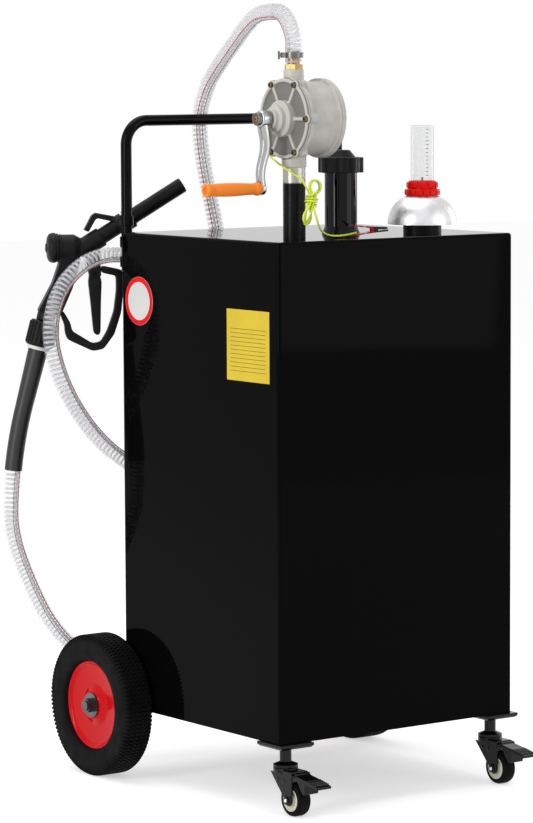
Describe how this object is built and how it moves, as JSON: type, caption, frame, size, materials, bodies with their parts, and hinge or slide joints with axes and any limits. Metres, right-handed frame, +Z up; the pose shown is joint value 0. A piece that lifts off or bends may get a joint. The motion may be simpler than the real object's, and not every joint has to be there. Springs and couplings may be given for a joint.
{
  "type": "fuel caddy",
  "caption": "Upright black steel fuel caddy with a crank-driven rotary pump, clear hose and nozzle, level gauge, push handle, rear wheels and braked casters.",
  "frame": {"origin": "centre of the flat underside of the tank, 107 mm above the ground that the wheels stand on", "axes": "+Z up; +X to the right as seen from the front; -Y is the front, where the casters are, and the rear wheels, handle, hose and nozzle are at +Y; the crank and the stickers face -X"},
  "size_m": [0.6327, 0.6463, 1.1899],
  "materials": {
    "black_paint": "glossy black powder coat",
    "zinc_steel": "bright zinc plate",
    "caster_plating": "glossy black plating",
    "caster_tread": "satin black tread on a cream rim",
    "red_rim": "glossy red enamel",
    "tyre_rubber": "matte black",
    "pump_casting": "satin warm grey over a sand casting",
    "rotor_steel": "machined",
    "vane_plastic": "smooth",
    "screw_plating": "yellow passivated zinc",
    "brass": "turned",
    "orange_grip": "satin orange",
    "clear_hose": "clear, with a spiral and two thin stripes",
    "black_rubber": "satin with fine ridges",
    "black_plastic": "satin",
    "white_ring": "satin white",
    "spout_metal": "satin black",
    "dome_aluminium": "spun, satin",
    "red_plastic": "glossy red",
    "clear_plastic": "clear, graduated",
    "float_plastic": "black",
    "wire_sheath": "yellow-green",
    "yellow_sticker": "satin film",
    "white_sticker": "satin film with a red ring"
  },
  "bodies": {
    "root": {"tank_bottom": "black_paint", "tank_shell": "black_paint", "tank_top": "black_paint", "axle": "zinc_steel", "axle_brackets": "black_paint", "axle_fasteners": "zinc_steel", "caster_plates": "caster_plating", "caster_stems": "caster_plating", "handle": "black_paint", "handle_straps": "black_paint", "riser_pipe": "black_paint", "dip_tube": "zinc_steel", "pump_body": "pump_casting", "pump_cover": "pump_casting", "pump_back_plate": "pump_casting", "pump_screws": "screw_plating", "outlet_fitting": "brass", "hose_cuff": "clear_hose", "hose_clamp": "zinc_steel", "hose": "clear_hose", "hose_sleeve": "black_rubber", "swivel_ring": "white_ring", "filler_tube": "black_paint", "gauge_collar": "zinc_steel", "gauge_dome": "dome_aluminium", "gauge_ring": "red_plastic", "gauge_tube": "clear_plastic", "square_sticker": "yellow_sticker", "round_sticker": "white_sticker", "nozzle_body": "black_plastic", "nozzle_end_cap": "black_plastic", "nozzle_spout": "spout_metal", "spout_hook": "black_plastic", "trigger_guard": "black_plastic", "nozzle_holder": "black_paint", "ground_lead": "wire_sheath", "ground_hank": "wire_sheath", "ground_tail": "wire_sheath", "clip_lower": "zinc_steel"},
    "wheel_left": {"rim_left": "red_rim", "tyre_left": "tyre_rubber"},
    "wheel_right": {"rim_right": "red_rim", "tyre_right": "tyre_rubber"},
    "crank": {"pump_rotor": "rotor_steel", "pump_vanes": "vane_plastic", "crank_arm": "zinc_steel", "crank_nut": "brass"},
    "grip": {"crank_grip": "orange_grip"},
    "trigger": {"nozzle_trigger": "black_plastic"},
    "valve": {"valve_stem": "rotor_steel"},
    "swivel": {"nozzle_swivel": "black_plastic"},
    "cap": {"filler_cap": "black_plastic"},
    "level_float": {"gauge_float": "float_plastic"},
    "clip_jaw": {"clip_upper": "zinc_steel"},
    "caster_left": {"caster_fork_left": "caster_plating"},
    "caster_wheel_left": {"caster_wheel_left": "caster_tread"},
    "brake_left": {"brake_pedal_left": "caster_plating"},
    "caster_right": {"caster_fork_right": "caster_plating"},
    "caster_wheel_right": {"caster_wheel_right": "caster_tread"},
    "brake_right": {"brake_pedal_right": "caster_plating"}
  },
  "joints": [
    {"name": "wheel_left_spin", "type": "hinge", "parent": "root", "child": "wheel_left", "pos_m": [-0.25, 0.226, 0.003], "axis": [1, 0, 0], "continuous": true},
    {"name": "caster_left_swivel", "type": "hinge", "parent": "root", "child": "caster_left", "pos_m": [-0.195, -0.182, -0.0378], "axis": [0, 0, 1], "continuous": true},
    {"name": "caster_left_roll", "type": "hinge", "parent": "caster_left", "child": "caster_wheel_left", "pos_m": [-0.195, -0.207, -0.082], "axis": [1, 0, 0], "continuous": true},
    {"name": "brake_left_press", "type": "hinge", "parent": "caster_left", "child": "brake_left", "pos_m": [-0.195, -0.2205, -0.0448], "axis": [1, 0, 0], "range_deg": [0, 14]},
    {"name": "wheel_right_spin", "type": "hinge", "parent": "root", "child": "wheel_right", "pos_m": [0.25, 0.226, 0.003], "axis": [1, 0, 0], "continuous": true},
    {"name": "caster_right_swivel", "type": "hinge", "parent": "root", "child": "caster_right", "pos_m": [0.195, -0.182, -0.0378], "axis": [0, 0, 1], "continuous": true},
    {"name": "caster_right_roll", "type": "hinge", "parent": "caster_right", "child": "caster_wheel_right", "pos_m": [0.195, -0.207, -0.082], "axis": [1, 0, 0], "continuous": true},
    {"name": "brake_right_press", "type": "hinge", "parent": "caster_right", "child": "brake_right", "pos_m": [0.195, -0.2205, -0.0448], "axis": [1, 0, 0], "range_deg": [0, 14]},
    {"name": "crank_turn", "type": "hinge", "parent": "root", "child": "crank", "pos_m": [-0.168, -0.105, 0.911], "axis": [1, 0, 0], "continuous": true},
    {"name": "grip_spin", "type": "hinge", "parent": "crank", "child": "grip", "pos_m": [-0.23, -0.105, 0.809], "axis": [1, 0, 0], "continuous": true},
    {"name": "trigger_squeeze", "type": "hinge", "parent": "root", "child": "trigger", "pos_m": [-0.21916, 0.27825, 0.669], "axis": [0.454, 0.891, 0], "range_deg": [0, 12], "stiffness_Nm_per_rad": 0.6},
    {"name": "valve_slide", "type": "slide", "parent": "root", "child": "valve", "axis": [-0.891, 0.454, 0], "range_m": [0, 0.006]},
    {"name": "swivel_spin", "type": "hinge", "parent": "root", "child": "swivel", "pos_m": [-0.2891, 0.3139, 0.5955], "axis": [-0.2231, 0.1137, -0.9681], "continuous": true},
    {"name": "filler_cap_lift", "type": "slide", "parent": "root", "child": "cap", "axis": [0, 0, 1], "range_m": [0, 0.06]},
    {"name": "gauge_float_rise", "type": "slide", "parent": "root", "child": "level_float", "axis": [0, 0, 1], "range_m": [0, 0.07]},
    {"name": "clip_squeeze", "type": "hinge", "parent": "root", "child": "clip_jaw", "pos_m": [-0.004, -0.15, 0.7452], "axis": [0, -1, 0], "range_deg": [0, 12], "stiffness_Nm_per_rad": 0.25}
  ],
  "couplings": [
    {"joint": "valve_slide", "follows": "trigger_squeeze", "m_per_rad": 0.02865}
  ]
}
